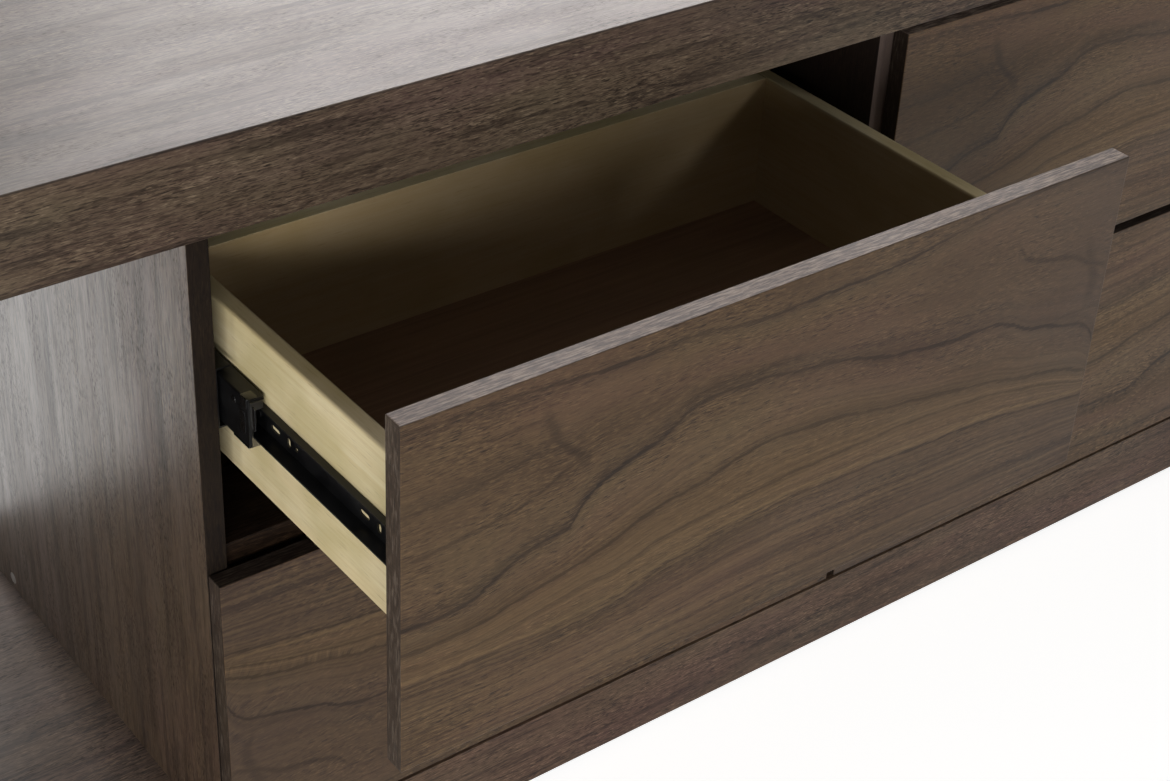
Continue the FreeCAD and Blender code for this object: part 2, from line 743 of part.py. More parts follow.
def make_drawer(level, side, opened):
    name = level + "_" + side
    front_x = front_left_x[side]
    bottom_z = front_bottom_z[level]
    face_y = front_y - opened
    back_of_front_y = face_y + front_thickness

    box_left_x = column_left_x[side] + runner_space
    box_right_x = column_left_x[side] + column_width - runner_space
    box_bottom_z = bottom_z + box_rise
    box_top_z = box_bottom_z + box_height
    box_rear_y = back_of_front_y + box_depth
    inner_left_x = box_left_x + box_board_thickness
    inner_right_x = box_right_x - box_board_thickness
    inner_front_y = back_of_front_y + box_board_thickness
    inner_rear_y = box_rear_y - box_board_thickness

    places = list(front_screw_places(box_left_x, box_right_x, box_bottom_z))
    front_holes = [rod((x, inner_front_y, z), (0, -1, 0),
                       front_screw_shank_radius + hole_clearance,
                       front_screw_length + hole_clearance) for x, z in places]

    front = board(front_x, front_x + front_width, face_y, back_of_front_y,
                  bottom_z, bottom_z + front_height)
    front = ease(front, front_edge_ease, lambda axis, middle: True)
    keep(name + "_front", front.cut(front_holes))

    floor_z = box_bottom_z + bottom_rise
    floor = board(inner_left_x - groove_depth, inner_right_x + groove_depth,
                  inner_front_y - groove_depth, inner_rear_y + groove_depth,
                  floor_z, floor_z + bottom_thickness)
    slack = groove_clearance
    groove = board(inner_left_x - groove_depth - slack, inner_right_x + groove_depth + slack,
                   inner_front_y - groove_depth - slack, inner_rear_y + groove_depth + slack,
                   floor_z - slack, floor_z + bottom_thickness + slack)
    keep(name + "_box_bottom", floor)

    def long_top_edge(axis, middle):
        return axis in ("x", "y") and near(middle.z, box_top_z)

    drawer_member_y = back_of_front_y + runner_setback
    for wall, x0 in (("left", box_left_x), ("right", inner_right_x)):
        plank = board(x0, x0 + box_board_thickness, back_of_front_y, box_rear_y,
                      box_bottom_z, box_top_z)
        plank = ease(plank, box_top_round,
                     lambda axis, middle: axis == "y" and near(middle.z, box_top_z))
        screws = [drawer_screw_shank(side, wall, level, drawer_member_y + station,
                                     screw_shank_radius + hole_clearance)
                  for station in runner_screw_stations]
        keep(name + "_box_" + wall + "_side", plank.cut([groove] + screws))

    box_front = board(inner_left_x, inner_right_x, back_of_front_y, inner_front_y,
                      box_bottom_z, box_top_z)
    box_front = ease(box_front, box_corner_ease, long_top_edge)
    keep(name + "_box_front", box_front.cut([groove] + front_holes))
    box_back = board(inner_left_x, inner_right_x, inner_rear_y, box_rear_y,
                     box_bottom_z, box_top_z)
    box_back = ease(box_back, box_corner_ease, long_top_edge)
    keep(name + "_box_back", box_back.cut(groove))

    screws = [screw((x, inner_front_y, z), (0, -1, 0), front_screw_shank_radius,
                    front_screw_length, front_screw_head_radius, front_screw_head_height)
              for x, z in places]
    runner_z = bottom_z + runner_rise
    seats = ((box_left_x - runner_steel, 1), (box_right_x + runner_steel, -1))
    for station in runner_screw_stations:
        for x, along in seats:
            screws.append(screw((x, drawer_member_y + station, runner_z), (along, 0, 0),
                                screw_shank_radius, runner_steel + box_screw_depth,
                                pan_head_radius, pan_head_height))
    keep(name + "_drawer_screws", group(screws))


# ---------------------------------------------------------------------------
# Build and save.
# ---------------------------------------------------------------------------

make_frame()
make_glides()
make_block()
make_block_fixings()
for level, side, opened in DRAWERS:
    make_drawer(level, side, opened)
    make_runners(level, side, opened)

for name, shape in NODES.items():
    shape.exportStep("parts/" + name + ".step")
    print(name, len(shape.Solids), "solids", round(shape.Volume / 1000.0, 1), "cm3",
          "valid" if shape.isValid() else "NOT VALID")
print(len(NODES), "nodes")
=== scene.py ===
# %% [markdown]
# # An office credenza in dark walnut, dressed in Blender
# The cabinet's solids come ready made, so this lesson is about what the eye adds: veneer with a real figure,
# pale drawer boxes, black runners with their small fittings, and a quiet studio round them.
# Everything stays in the solids' own frame, in metres, so nothing has to be fitted.

# %% The frame
import math

import bmesh
import bpy
from mathutils import Matrix, Vector


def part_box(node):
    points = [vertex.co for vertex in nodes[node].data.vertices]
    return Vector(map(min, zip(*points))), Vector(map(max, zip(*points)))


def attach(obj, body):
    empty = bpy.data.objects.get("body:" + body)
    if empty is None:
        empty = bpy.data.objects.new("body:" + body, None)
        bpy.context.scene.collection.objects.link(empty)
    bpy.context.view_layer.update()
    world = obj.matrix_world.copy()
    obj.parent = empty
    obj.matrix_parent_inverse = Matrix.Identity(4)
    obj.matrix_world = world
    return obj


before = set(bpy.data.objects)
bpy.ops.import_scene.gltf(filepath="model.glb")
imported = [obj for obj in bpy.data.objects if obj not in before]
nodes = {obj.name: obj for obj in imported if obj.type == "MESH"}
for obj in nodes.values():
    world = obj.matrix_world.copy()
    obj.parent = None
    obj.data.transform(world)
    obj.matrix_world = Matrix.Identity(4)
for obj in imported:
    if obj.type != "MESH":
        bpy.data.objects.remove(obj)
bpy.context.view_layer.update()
MM = 0.001
DRAWERS = ("upper_left", "upper_right", "lower_left", "lower_right")

# %% [markdown]
# ## Colours as the eye reads them
# A colour is easiest to judge on a screen, where a channel runs from 0 to 255, but Blender mixes colours as
# amounts of light, which fall off much faster toward the dark. One helper turns the first into the second, so
# that every colour below can be written as it is seen.

# %% Screen colours


def shade(red, green, blue):
    """A screen colour, 0 to 255 a channel, as the linear colour that Blender mixes with."""
    channels = [c / 255 for c in (red, green, blue)]
    return tuple(c / 12.92 if c <= 0.04045 else ((c + 0.055) / 1.055) ** 2.4 for c in channels) + (1.0,)


def tint(red, green, blue):
    """A stain that a wood's colour is multiplied by, channel by channel."""
    return (red, green, blue, 1)


print("middle grey on a screen is this much light:", round(shade(128, 128, 128)[0], 3))

# %% [markdown]
# ## Short calls for node trees
# A finish is a tree of nodes. Wired by hand each node takes five lines, so a small bench of helpers keeps one
# finish readable: a call adds one node, or a few that always go together, and hands back the socket that comes
# out. A value that is the same all over is set on the node, and one that changes over the surface is linked.

# %% The finishing bench
BOTH_WAYS = 2


class Bench:
    """One finish and its node tree, with a short call for each kind of node. The sky brings a tree of its own."""

    def __init__(self, name, tree=None):
        if tree is None:
            self.finish = bpy.data.materials.new(name)
            self.finish.use_nodes = True
            tree = self.finish.node_tree
        self.tree = tree
        self.tree.nodes.clear()

    def node(self, kind, inputs, **settings):
        made = self.tree.nodes.new("ShaderNode" + kind)
        for key, value in settings.items():
            setattr(made, key, value)
        for key, value in inputs.items():
            if isinstance(value, bpy.types.NodeSocket):
                self.tree.links.new(value, made.inputs[key])
            else:
                made.inputs[key].default_value = value
        return made

    def place(self):
        """Where a point lies on the object, in metres."""
        return self.node("TexCoord", {}).outputs["Object"]

    def parts(self, vector):
        split = self.node("SeparateXYZ", {0: vector})
        return split.outputs[0], split.outputs[1], split.outputs[2]

    def facing(self):
        """Which way the surface looks: x, y and z parts."""
        return self.parts(self.node("TexCoord", {}).outputs["Normal"])

    def join(self, x, y, z):
        return self.node("CombineXYZ", {0: x, 1: y, 2: z}).outputs[0]

    def math(self, operation, a, b=0.0, c=0.0, clamp=False):
        return self.node("Math", {0: a, 1: b, 2: c}, operation=operation, use_clamp=clamp).outputs[0]

    def stretch(self, vector, scale, shift=(0, 0, 0)):
        return self.node("Mapping", {"Vector": vector, "Scale": scale, "Location": shift}).outputs[0]

    def noise(self, vector, scale=1.0, detail=2.0, rough=0.5):
        values = {"Vector": vector, "Scale": scale, "Detail": detail, "Roughness": rough}
        return self.node("TexNoise", values).outputs[0]

    def grain(self, flow, table):
        """Every noise of a table by its name, each drawn out along the flow by its own scale."""
        return {
            name: self.noise(self.stretch(flow, scale, shift), detail=detail, rough=rough)
            for name, (scale, shift, detail, rough) in table.items()
        }

    def between(self, value, low, high, to_low=0.0, to_high=1.0, smooth=False):
        """Value, spread from low..high onto to_low..to_high and held there outside."""
        kind = "SMOOTHSTEP" if smooth else "LINEAR"
        values = {0: value, 1: low, 2: high, 3: to_low, 4: to_high}
        return self.node("MapRange", values, interpolation_type=kind, clamp=True).outputs[0]

    def looking(self, part, way, start, full, most=1.0):
        """Grows to most as the surface turns toward way along one axis: 1, -1 or BOTH_WAYS."""
        toward = self.math("ABSOLUTE", part) if way == BOTH_WAYS else self.math("MULTIPLY", part, float(way))
        return self.between(toward, start, full, 0.0, most)

    def mix(self, share, a, b, blend="MIX"):
        made = self.node("Mix", {"Factor": share, 6: a, 7: b}, data_type="RGBA", blend_type=blend)
        return made.outputs[2]

    def stain(self, wood, colour, most, value, start, full):
        """Lays colour over wood: none of it where value is at start, and most of it where value is at full."""
        return self.mix(self.between(value, start, full, 0.0, most), wood, colour)

    def bump(self, height, distance, strength):
        values = {"Height": height, "Distance": distance, "Strength": strength}
        return self.node("Bump", values).outputs[0]

    def close(self, colour, roughness, normal, **sockets):
        """Ends the tree in a Principled shader; sockets that are the same all over are set on it."""
        values = {"Base Color": colour, "Roughness": roughness, "Normal": normal}
        values.update({key.replace("_", " "): value for key, value in sockets.items()})
        shader = self.node("BsdfPrincipled", values)
        self.node("OutputMaterial", {"Surface": shader.outputs[0]})
        return self.finish


def dress(node, finish):
    """Puts a finish into every material slot of a solid."""
    for slot in nodes[node].material_slots:
        slot.link = "DATA"
        slot.material = finish


print("the bench has", len([call for call in vars(Bench) if not call.startswith("_")]), "calls")

# %% [markdown]
# ## Walnut veneer
# Walnut is a brown wood whose grain shows at several scales. Closest are the pores, short dark scratches under a
# millimetre wide, and the fibres and threads between them, finer still and lighter. Widest are soft bands, clouds
# that wander to olive and to dark, and a faint rosy blush. A last noise, lively, decides where the fine grain is
# crisp and where it is calm, because real veneer is never equally busy all over. Each of them is one noise,
# squeezed across the grain and drawn out along it, so one recipe serves all boards when it is told which way the
# grain runs. A painted picture would do this too, but it repeats, and it has to be unwrapped onto every solid.

# %% The walnut recipe
WALNUT_DARK = shade(56, 41, 30)
WALNUT_MID = shade(82, 64, 48)
WALNUT_PALE = shade(108, 87, 65)
WALNUT_PORE = shade(30, 22, 17)
WALNUT_OLIVE = shade(100, 84, 61)
WALNUT_ROSE = shade(98, 72, 62)
WALNUT_GLINT = shade(140, 116, 88)
PORE_DEPTH = 0.12 * MM
# Each noise: its scale along, across and through the board, its shift, its detail and its roughness.
WIDE_NOISES = {
    "bands": ((1.7, 60, 60), (0, 0, 0), 4, 0.6),
    "clouds": ((5, 20, 20), (3, 1, 7), 4, 0.6),
    "blush": ((4, 14, 14), (8, 6, 1), 3, 0.5),
    "lively": ((9, 30, 30), (6, 4, 2), 3, 0.5),
}
FINE_NOISES = {
    "fibres": ((82, 680, 680), (0, 0, 0), 3, 0.65),
    "threads": ((120, 900, 900), (9, 2, 4), 2, 0.6),
    "pores": ((85, 850, 850), (1, 5, 2), 2, 0.6),
}
# The wide stains in their order: colour, its greatest share, its noise, and where that starts and is full.
WIDE_STAINS = (
    (WALNUT_MID, 0.35, "bands", 0.35, 0.65),
    (WALNUT_PORE, 0.45, "bands", 0.48, 0.34),
    (WALNUT_OLIVE, 0.42, "clouds", 0.50, 0.66),
    (WALNUT_DARK, 0.40, "clouds", 0.46, 0.34),
    (WALNUT_ROSE, 0.40, "blush", 0.48, 0.68),
)


def walnut_grain(bench, along, across, depth, broad=None):
    """Colour, roughness and pore height of walnut; along, across and depth are metres in the board.
    broad is the place across the grain that the wide bands follow, where it isn't the same as across."""
    flow = bench.join(along, across, depth)
    wide = flow if broad is None else bench.join(along, broad, depth)
    seen = bench.grain(wide, WIDE_NOISES) | bench.grain(flow, FINE_NOISES)
    lively = bench.between(seen["lively"], 0.40, 0.60, 0.45, 1.1)
    share = bench.math("MULTIPLY", bench.between(seen["fibres"], 0.36, 0.64, -0.5, 0.5), lively)
    wood = bench.mix(bench.math("MULTIPLY_ADD", share, 0.85, 0.5), WALNUT_DARK, WALNUT_PALE)
    for colour, most, name, start, full in WIDE_STAINS:
        wood = bench.stain(wood, colour, most, seen[name], start, full)
    glint = bench.math("MULTIPLY", bench.between(seen["threads"], 0.54, 0.68, 0.0, 0.5), lively)
    wood = bench.mix(glint, wood, WALNUT_GLINT)
    scratch = bench.between(seen["pores"], 0.56, 0.66)
    wood = bench.mix(bench.math("MULTIPLY", bench.math("MULTIPLY", scratch, lively), 0.8), wood, WALNUT_PORE)
    roughness = bench.between(seen["clouds"], 0.3, 0.7, 0.50, 0.38)
    height = bench.math("SUBTRACT", bench.math("MULTIPLY", seen["fibres"], 0.35), scratch)
    return wood, roughness, height


print("walnut noises:", len(WIDE_NOISES), "wide and", len(FINE_NOISES), "fine")

# %% [markdown]
# ## Polish and marks on the boards
# A satin polish is a thin clear coat over the wood, which Blender has as the coat of its Principled shader. On
# open-pored walnut the coat sinks in along the dark streaks and pores, and that gives the board its brushed
# shine. So the coat's weight follows the same noises that darken the wood. Painting the shine on would look
# right from one side only, and this way it moves with the light.

# %% Polish and marks
UPRIGHT_LACQUER = {"Coat_Weight": 1.0, "Coat_Roughness": 0.36, "Coat_IOR": 1.80, "Specular_IOR_Level": 0.12}
SLAB_LACQUER = {"Coat_Weight": 0.43, "Coat_Roughness": 0.36, "Coat_IOR": 1.5, "Specular_IOR_Level": 0.12}
BASE_LACQUER = {"Coat_Weight": 0.82, "Coat_Roughness": 0.30, "Coat_IOR": 1.5, "Specular_IOR_Level": 0.12}
# The boards' marks, as rows of the same kind as the walnut's noises.
BOARD_NOISES = {
    "streaks": ((6, 110, 110), (2, 5, 8), 4, 0.65),
    "blots": ((5, 24, 24), (7, 3, 1), 4, 0.6),
    "flecks": ((45, 700, 700), (4, 4, 4), 2, 0.6),
    "specks": ((150, 1150, 1150), (6, 2, 9), 1, 0.5),
    "crowd": ((11, 38, 38), (1, 7, 3), 3, 0.5),
}
# Where the polish sinks in: the noise, where it is thinnest and where it is whole, and how much of it is lost.
SUNKEN_POLISH = (("streaks", 0.40, 0.56, 0.45), ("blots", 0.40, 0.60, 0.45), ("flecks", 0.62, 0.54, 0.60))


def marked_wood(bench, wood, marks):
    """Wood with the boards' dark marks in it, and where its smallest specks are: they come in crowds."""
    wood = bench.stain(wood, WALNUT_PORE, 0.5, marks["streaks"], 0.47, 0.38)
    wood = bench.stain(wood, WALNUT_PORE, 0.5, marks["flecks"], 0.57, 0.64)
    crowded = bench.between(marks["crowd"], 0.42, 0.58)
    specks = bench.math("MULTIPLY", bench.between(marks["specks"], 0.56, 0.64), crowded)
    return bench.mix(bench.math("MULTIPLY", specks, 0.7), wood, WALNUT_PORE), specks


def brushed_polish(bench, marks, specks, uneven):
    """How whole the polish is; uneven is how much of the loss shows on this board."""
    gloss = 1.0
    for name, thin, whole, lost in SUNKEN_POLISH:
        left = bench.between(marks[name], thin, whole, 1.0 - lost * uneven, 1.0)
        gloss = bench.math("MULTIPLY", gloss, left)
    return bench.math("MULTIPLY", gloss, bench.between(specks, 0.0, 1.0, 1.0, 0.35))


print("board noises:", ", ".join(BOARD_NOISES))

# %% [markdown]
# ## Straight-grained boards
# The top, the base, the ends, the uprights and the rails are cut so that the grain runs straight along them. Only
# the direction differs, so a board's recipe takes the order of its axes. The polish lies on the uprights' faces
# and on faces that look up. The uprights' front edges and the faces toward the drawers are painted nearly black as
# shade, so that the gaps between the fronts read as shadow, and the rails' dark tone is painted shade too.

# %% Board finishes
# Painted shade: the first colour darkens the outer uprights' front edges, the second their faces toward the
# drawers.
EDGE_PAINTED_SHADE = shade(14, 9, 7)
INNER_FACE_PAINTED_SHADE = shade(20, 13, 11)
WANDER_SCALE, WANDER = (2.2, 6, 6), 12 * MM
FACE_TURN = (0.35, 0.75)
JOINT_BELOW = (1.6 * MM, 0.9 * MM)


def straight_board(name, order, coat=SLAB_LACQUER, tone=None, edge=None, edge_share=0.9, inner=0, relief=0.3,
                   uneven=1.0, lipped=None):
    """order names the axes: along the grain, across it, and through the board. tone is a stain over the whole
    board, on the rails a painted shade. edge is a colour over the front edge of an upright, and on the two outer
    uprights it is a painted shade. inner is the side (1 right, -1 left, or both) that faces a drawer, which is
    painted dark as shade and left unpolished. relief is how strongly the pores show as hollows, and uneven how
    much the polish varies with the grain. lipped is the height where a front lipping meets the top veneer in a
    fine dark joint."""
    bench = Bench(name)
    axes = dict(zip("xyz", bench.parts(bench.place())))
    along, across, depth = (axes[axis] for axis in order)
    wander = bench.noise(bench.stretch(bench.join(along, across, depth), WANDER_SCALE))
    across = bench.math("MULTIPLY_ADD", wander, WANDER, across)
    wood, roughness, height = walnut_grain(bench, along, across, depth)
    marks = bench.grain(bench.join(along, across, depth), BOARD_NOISES)
    wood, specks = marked_wood(bench, wood, marks)
    if tone:
        wood = bench.mix(1.0, wood, tone, blend="MULTIPLY")
    side, front, up = bench.facing()
    gloss = brushed_polish(bench, marks, specks, uneven)
    if lipped:
        joint = bench.between(axes["z"], lipped - JOINT_BELOW[0], lipped - JOINT_BELOW[1])
        joint = bench.math("MULTIPLY", joint, bench.looking(front, -1, *FACE_TURN))
        wood = bench.mix(bench.math("MULTIPLY", joint, 0.65), wood, WALNUT_PORE)
    # On the outer uprights this front-edge colour is painted shade.
    if edge:
        dull = bench.looking(front, -1, *FACE_TURN)
        wood = bench.mix(dull, wood, bench.mix(edge_share, wood, edge))
        # Painted shade on the faces toward a drawer.
        within = bench.looking(side, inner, *FACE_TURN)
        wood = bench.mix(within, wood, bench.mix(0.9, wood, INNER_FACE_PAINTED_SHADE))
        dull = bench.math("MAXIMUM", dull, within)
        gloss = bench.math("MULTIPLY", gloss, bench.math("SUBTRACT", 1.0, dull))
        roughness = bench.math("MAXIMUM", roughness, bench.math("MULTIPLY", dull, 0.75))
    else:
        gloss = bench.math("MULTIPLY", gloss, bench.looking(up, 1, 0.3, 0.8))
    weight = bench.math("MULTIPLY", gloss, coat["Coat_Weight"])
    normal = bench.bump(height, PORE_DEPTH, relief)
    return bench.close(wood, roughness, normal, **(coat | {"Coat_Weight": weight}))


top_veneer_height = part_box("top_slab")[1][2]
slab_veneer = straight_board("slab_veneer", "xyz", tone=tint(1.10, 1.24, 1.50), relief=0.15, uneven=0.35,
                             lipped=top_veneer_height)
base_veneer = straight_board("base_veneer", "xyz", BASE_LACQUER, tone=tint(1.24, 1.22, 1.40), relief=0.15,
                             uneven=0.35)
end_veneer = straight_board("end_veneer", "zyx", tone=tint(0.92, 1.01, 1.15))
left_upright = straight_board("left_upright", "zyx", UPRIGHT_LACQUER, edge=EDGE_PAINTED_SHADE, inner=1, uneven=0.5)
right_upright = straight_board("right_upright", "zyx", UPRIGHT_LACQUER, edge=EDGE_PAINTED_SHADE, inner=-1, uneven=0.5)
divider_veneer = straight_board("divider_veneer", "zyx", UPRIGHT_LACQUER, edge=shade(98, 85, 80),
                                edge_share=0.8, inner=BOTH_WAYS)
# The rails' dark tone is painted shade, for the shade under the drawers.
rail_veneer_painted_shade = straight_board("rail_veneer_painted_shade", "xyz", tone=tint(0.22, 0.20, 0.20))
back_veneer = straight_board("back_veneer", "xzy", tone=tint(0.95, 1.02, 1.13))
BOARDS = {
    "top_slab": slab_veneer, "base_slab": base_veneer,
    "left_end_panel": end_veneer, "right_end_panel": end_veneer,
    "left_block_panel": left_upright, "centre_divider": divider_veneer, "right_block_panel": right_upright,
    "left_drawer_rail": rail_veneer_painted_shade, "right_drawer_rail": rail_veneer_painted_shade,
    "block_back_panel": back_veneer,
}
for node, finish in BOARDS.items():
    dress(node, finish)
print("straight boards dressed:", len(BOARDS))

# %% [markdown]
# ## The drawer fronts' figure
# The four fronts come from one sheet of crown-cut veneer, whose growth lines rise in a long arch. Random noise
# never draws such a line, so each line is drawn as a curve: how high it stands, for each place along the front. A
# curve node does this with a dozen points a line, and a finer figure only takes more points.

# %% Figure lines
FRONT_LENGTH, FRONT_HEIGHT = 670.0, 290.0
LOW_LINE = [(0, 76), (55, 72), (115, 69), (193, 75), (235, 84), (295, 93), (385, 94), (475, 89), (565, 83),
            (670, 69)]
BAND_LINE = [(0, 93), (31, 88), (85, 87), (115, 93), (151, 99), (193, 102), (217, 109), (265, 114), (385, 118),
             (475, 117), (595, 102), (670, 82)]
MIDDLE_LINE = [(0, 105), (61, 103), (91, 109), (133, 117), (175, 126), (205, 137), (235, 143), (265, 147),
               (295, 154), (319, 157), (355, 156), (391, 151), (427, 144), (505, 132), (547, 124), (583, 115),
               (619, 109), (670, 94)]
ARCH_LINE = [(0, 126), (55, 127), (70, 135), (103, 150), (134, 155), (142, 164), (154, 177), (175, 187),
             (199, 194), (226, 206), (238, 214), (259, 218), (283, 217), (343, 210), (379, 204), (415, 193),
             (445, 188), (505, 180), (541, 178), (565, 171), (583, 161), (607, 155), (631, 149), (652, 143),
             (664, 132), (670, 120)]
TOP_LINE = [(0, 283), (60, 281), (180, 275), (240, 276), (290, 268), (330, 267), (390, 269), (440, 272),
            (500, 281), (560, 287), (670, 289)]
FIGURE_LINES = (LOW_LINE, BAND_LINE, MIDDLE_LINE, ARCH_LINE, TOP_LINE)


def drawn_line(bench, value, points, span, reach):
    """A line drawn through points in mm. value, 0 to 1, runs along the span, and the line's height comes out as a
    share of the reach."""
    made = bench.node("FloatCurve", {"Value": value})
    line = made.mapping.curves[0]
    first, *inner, last = [(a / span, b / reach) for a, b in points]
    line.points[0].location = first
    line.points[1].location = last
    for point in inner:
        line.points.new(*point)
    made.mapping.use_clip = False
    made.mapping.update()
    return made.outputs[0]


print("points in the figure:", sum(len(points) for points in FIGURE_LINES))

# %% [markdown]
# ## Grain that bends with the figure
# The fine grain of a crown-cut sheet follows its growth lines. Each line gets a level, and heights between two
# lines are stretched evenly from one level to the next. Wood that is laid out by level instead of height bends
# along with the lines by itself, which saves drawing hundreds of them.

# %% Levels of the figure
LEVELS = (0.0, 0.27, 0.36, 0.47, 0.66, 0.95, 1.0)


def figure_levels(bench, along, rise):
    """The figure's lines, with the sheet's lower and upper edge round them, and the level at each height."""
    lines = [drawn_line(bench, along, points, FRONT_LENGTH, FRONT_HEIGHT) for points in FIGURE_LINES]
    lines = [0.0, *lines, 1.0]
    level = 0.0
    for low, high, start, end in zip(lines, lines[1:], LEVELS, LEVELS[1:]):
        level = bench.math("ADD", level, bench.between(rise, low, high, 0.0, end - start))
    return lines, level


print("levels:", LEVELS)

# %% [markdown]
# ## Dark growth lines
# A growth line is a thin dark core with a soft shadow on either side, one of them wider. The distance from the
# line in millimetres gives both: the core fades in close to it, and each shadow runs out on its own side. Of all
# the lines' shares the largest counts, so lines that come close don't add up to black.

# %% Growth lines
# How each line looks: half its core's width and its shadow above and below in mm, then both strengths.
LINE_LOOKS = (
    (1.8, 4, 10, 0.85, 0.34),
    (1.8, 3, 8, 0.80, 0.28),
    (3.0, 14, 8, 1.00, 0.46),
    (3.4, 20, 8, 1.00, 0.50),
    (2.4, 8, 12, 0.80, 0.30),
)
LINE_HEART = 0.2


def growth_lines(bench, lines, rise):
    """How dark the figure's lines are at a height on the sheet."""
    dark = 0.0
    for line, (core, above, below, strength, soft) in zip(lines, LINE_LOOKS):
        gap = bench.math("MULTIPLY", bench.math("SUBTRACT", rise, line), FRONT_HEIGHT)
        away = bench.math("ABSOLUTE", gap)
        stroke = bench.between(away, core, core * LINE_HEART, 0.0, strength, smooth=True)
        up = bench.math("MULTIPLY", bench.between(gap, above, 0.0, 0.0, soft), bench.between(gap, -1.0, 1.0))
        down = bench.math("MULTIPLY", bench.between(gap, -below, 0.0, 0.0, soft), bench.between(gap, 1.0, -1.0))
        stroke = bench.math("MAXIMUM", stroke, bench.math("ADD", up, down))
        dark = bench.math("MAXIMUM", dark, stroke)
    return dark


print("growth lines:", len(LINE_LOOKS))

# %% [markdown]
# ## Strokes that start and stop
# Between the long lines a sheet has short ones: a knot's shadow, and lines that come up from the wood below and
# sink again. They are drawn as the long lines are and fade out at both ends. A steep one is drawn with the axes
# changed round, because a curve can have only one height at each place.

# %% Short strokes
# Each stroke: its points, half its width in mm, its strength, and whether it is drawn along x or upright.
STROKES = (
    ([(205, 148), (212, 144), (222, 133), (231, 125), (245, 119), (258, 114)], 8.0, 0.62, "upright"),
    ([(0, 180), (73, 186), (110, 196), (140, 207)], 2.6, 0.50, "along"),
    ([(20, 262), (70, 255), (118, 254)], 2.4, 0.45, "along"),
    ([(283, 219), (315, 224), (350, 221)], 5.0, 0.65, "along"),
    ([(552, 246), (570, 230), (590, 222), (620, 216), (668, 196)], 4.5, 0.50, "along"),
    ([(160, 652), (185, 655), (212, 645), (225, 641)], 9.0, 0.40, "upright"),
    ([(545, 166), (600, 160), (668, 158)], 4.0, 0.45, "along"),
)
STROKE_HEART = 0.1
STROKE_FADE = 12


def short_strokes(bench, along, rise, dark):
    """dark, with the short strokes added to it."""
    for points, core, strength, way in STROKES:
        upright = way == "upright"
        span, reach = (FRONT_HEIGHT, FRONT_LENGTH) if upright else (FRONT_LENGTH, FRONT_HEIGHT)
        runs, stands = (rise, along) if upright else (along, rise)
        whole = [(0, points[0][1]), *points, (span, points[-1][1])]
        line = drawn_line(bench, runs, whole, span, reach)
        gap = bench.math("MULTIPLY", bench.math("ABSOLUTE", bench.math("SUBTRACT", stands, line)), reach)
        first, last, fade = points[0][0] / span, points[-1][0] / span, STROKE_FADE / span
        stroke = bench.between(gap, core, core * STROKE_HEART, 0.0, strength, smooth=True)
        stroke = bench.math("MULTIPLY", stroke, bench.between(runs, first - fade, first + fade))
        stroke = bench.math("MULTIPLY", stroke, bench.between(runs, last + fade, last - fade))
        dark = bench.math("MAXIMUM", dark, stroke)
    return dark


print("short strokes:", len(STROKES))

# %% [markdown]
# ## The fronts' faces
# The face puts the layers together: wood laid out by level, a grey drift that darkens one end, fine rings that
# follow the level, then the lines and strokes in dark ink, and last a pale streak over the lowest line and a
# golden band under the arch. The ink is patchy and its edges are frayed by the pores, because a clean line looks
# printed. The two right fronts are painted a little lighter than the left ones, as painted light for fronts that
# the lamps light less.

# %% Face of a front
# The second tone is painted light: it lifts the two right fronts, which the lamps light less.
DARKER_TONE, PAINTED_LIGHT_TONE = tint(0.92, 0.90, 0.83), tint(1.08, 1.05, 0.98)
GREY_DRIFT, DARK_END = shade(82, 67, 59), shade(44, 35, 31)
RING_DARK, RING_PALE = shade(46, 33, 24), shade(124, 101, 72)
LINE_INK = shade(32, 21, 13)
PALE_STREAK, GOLD_BAND = shade(140, 116, 80), shade(128, 102, 66)
LINE_WOBBLE, LINE_FRAY = 0.008, 0.0045
GRAIN_BEND = 0.25
STREAK_ABOVE = 0.018


